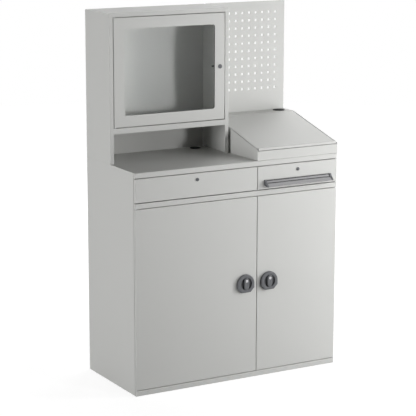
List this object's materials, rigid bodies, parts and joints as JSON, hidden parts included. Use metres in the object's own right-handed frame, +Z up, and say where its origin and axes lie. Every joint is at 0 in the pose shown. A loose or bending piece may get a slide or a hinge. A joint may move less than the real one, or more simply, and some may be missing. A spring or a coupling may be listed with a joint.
{
  "type": "industrial computer workstation",
  "caption": "Free-standing steel computer workstation with cupboard doors, drawers, a glazed monitor cabinet, a sloping lectern lid and a perforated tool panel.",
  "frame": {"origin": "middle of the bounding box on the floor, the tool drawer's pull bar included", "axes": "+Z up, +Y from the door fronts to the back, +X to the right as seen from the front"},
  "size_m": [1.1, 0.53, 1.76],
  "materials": {
    "light_grey_paint": "fine powder coat",
    "dark_grey_plastic": "fine grain",
    "black_plastic": "fine grain",
    "anodised_aluminium": "satin",
    "zinc_plated_steel": "bright zinc",
    "polished_chrome": "polished",
    "clear_pane": "clear"
  },
  "bodies": {
    "carcass": {"left_side_panel": "light_grey_paint", "right_side_panel": "light_grey_paint", "rear_panel": "light_grey_paint", "floor_tray": "light_grey_paint", "drawer_deck": "light_grey_paint", "cupboard_partition": "light_grey_paint", "drawer_partition": "light_grey_paint", "left_shelf": "light_grey_paint", "right_shelf": "light_grey_paint", "worktop": "light_grey_paint", "worktop_grommet": "black_plastic", "lectern_housing": "light_grey_paint", "lectern_grommet": "black_plastic", "lid_hinge_wire": "zinc_plated_steel", "perforated_panel": "light_grey_paint", "monitor_left_side": "light_grey_paint", "monitor_right_side": "light_grey_paint", "monitor_back": "light_grey_paint", "monitor_shelf": "light_grey_paint", "monitor_roof": "light_grey_paint", "keyboard_left_fixed_runner": "zinc_plated_steel", "keyboard_right_fixed_runner": "zinc_plated_steel", "tool_left_fixed_runner": "zinc_plated_steel", "tool_right_fixed_runner": "zinc_plated_steel"},
    "left_door": {"left_door": "light_grey_paint", "left_door_pivot": "zinc_plated_steel", "left_handle_plate": "dark_grey_plastic"},
    "left_handle": {"left_handle_lever": "dark_grey_plastic", "left_handle_cam": "zinc_plated_steel"},
    "left_key": {"left_key_plug": "polished_chrome"},
    "left_upper_rod": {"left_upper_rod": "zinc_plated_steel"},
    "left_lower_rod": {"left_lower_rod": "zinc_plated_steel"},
    "right_door": {"right_door": "light_grey_paint", "right_door_pivot": "zinc_plated_steel", "right_handle_plate": "dark_grey_plastic"},
    "right_handle": {"right_handle_lever": "dark_grey_plastic", "right_handle_cam": "zinc_plated_steel"},
    "right_key": {"right_key_plug": "polished_chrome"},
    "right_upper_rod": {"right_upper_rod": "zinc_plated_steel"},
    "right_lower_rod": {"right_lower_rod": "zinc_plated_steel"},
    "keyboard_drawer": {"keyboard_drawer_front": "light_grey_paint", "keyboard_drawer_box": "light_grey_paint", "keyboard_left_sliding_runner": "zinc_plated_steel", "keyboard_right_sliding_runner": "zinc_plated_steel"},
    "keyboard_lock": {"keyboard_lock": "dark_grey_plastic"},
    "tool_drawer": {"tool_drawer_front": "light_grey_paint", "tool_drawer_box": "light_grey_paint", "tool_left_sliding_runner": "zinc_plated_steel", "tool_right_sliding_runner": "zinc_plated_steel", "pull_bar": "anodised_aluminium", "pull_left_cap": "dark_grey_plastic", "pull_right_cap": "dark_grey_plastic"},
    "tool_lock": {"tool_lock": "dark_grey_plastic"},
    "monitor_door": {"monitor_door_frame": "light_grey_paint", "monitor_window": "clear_pane", "window_retainer": "black_plastic", "monitor_door_pivot": "zinc_plated_steel"},
    "monitor_lock": {"monitor_lock": "dark_grey_plastic"},
    "lectern_lid": {"lectern_lid": "light_grey_paint"}
  },
  "joints": [
    {"name": "left_door_swing", "type": "hinge", "parent": "carcass", "child": "left_door", "pos_m": [-0.544, -0.229, 0.0275], "axis": [0, 0, -1], "range_deg": [0, 110]},
    {"name": "left_handle_turn", "type": "hinge", "parent": "left_door", "child": "left_handle", "pos_m": [0.035, -0.235, 0.47], "axis": [0, 1, 0], "range_deg": [0, 90]},
    {"name": "left_key_turn", "type": "hinge", "parent": "left_handle", "child": "left_key", "pos_m": [0.035, -0.235, 0.4855], "axis": [0, 1, 0], "range_deg": [0, 90]},
    {"name": "left_upper_rod_slide", "type": "slide", "parent": "left_door", "child": "left_upper_rod", "axis": [0, 0, 1], "range_m": [0, 0.0101]},
    {"name": "left_lower_rod_slide", "type": "slide", "parent": "left_door", "child": "left_lower_rod", "axis": [0, 0, -1], "range_m": [0, 0.0101]},
    {"name": "right_door_swing", "type": "hinge", "parent": "carcass", "child": "right_door", "pos_m": [0.544, -0.229, 0.0275], "axis": [0, 0, 1], "range_deg": [0, 110]},
    {"name": "right_handle_turn", "type": "hinge", "parent": "right_door", "child": "right_handle", "pos_m": [0.165, -0.235, 0.47], "axis": [0, 1, 0], "range_deg": [0, 90]},
    {"name": "right_key_turn", "type": "hinge", "parent": "right_handle", "child": "right_key", "pos_m": [0.165, -0.235, 0.4855], "axis": [0, 1, 0], "range_deg": [0, 90]},
    {"name": "right_upper_rod_slide", "type": "slide", "parent": "right_door", "child": "right_upper_rod", "axis": [0, 0, 1], "range_m": [0, 0.0101]},
    {"name": "right_lower_rod_slide", "type": "slide", "parent": "right_door", "child": "right_lower_rod", "axis": [0, 0, -1], "range_m": [0, 0.0101]},
    {"name": "keyboard_drawer_slide", "type": "slide", "parent": "carcass", "child": "keyboard_drawer", "axis": [0, -1, 0], "range_m": [0, 0.36]},
    {"name": "keyboard_lock_turn", "type": "hinge", "parent": "keyboard_drawer", "child": "keyboard_lock", "pos_m": [-0.22563, -0.235, 1], "axis": [0, -1, 0], "range_deg": [0, 90]},
    {"name": "tool_drawer_slide", "type": "slide", "parent": "carcass", "child": "tool_drawer", "axis": [0, -1, 0], "range_m": [0, 0.36]},
    {"name": "tool_lock_turn", "type": "hinge", "parent": "tool_drawer", "child": "tool_lock", "pos_m": [0.32562, -0.235, 1], "axis": [0, -1, 0], "range_deg": [0, 90]},
    {"name": "monitor_door_swing", "type": "hinge", "parent": "carcass", "child": "monitor_door", "pos_m": [-0.52101, 0.021, 1.2245], "axis": [0, 0, -1], "range_deg": [0, 110]},
    {"name": "monitor_lock_turn", "type": "hinge", "parent": "monitor_door", "child": "monitor_lock", "pos_m": [0.03801, 0.015, 1.483], "axis": [0, -1, 0], "range_deg": [0, 180]},
    {"name": "lectern_lid_swing", "type": "hinge", "parent": "carcass", "child": "lectern_lid", "pos_m": [0.325, 0.1622, 1.211], "axis": [-1, 0, 0], "range_deg": [0, 80]}
  ],
  "couplings": [
    {"joint": "left_upper_rod_slide", "follows": "left_handle_turn", "m_per_rad": 0.0063662},
    {"joint": "left_lower_rod_slide", "follows": "left_handle_turn", "m_per_rad": 0.0063662},
    {"joint": "right_upper_rod_slide", "follows": "right_handle_turn", "m_per_rad": 0.0063662},
    {"joint": "right_lower_rod_slide", "follows": "right_handle_turn", "m_per_rad": 0.0063662}
  ]
}
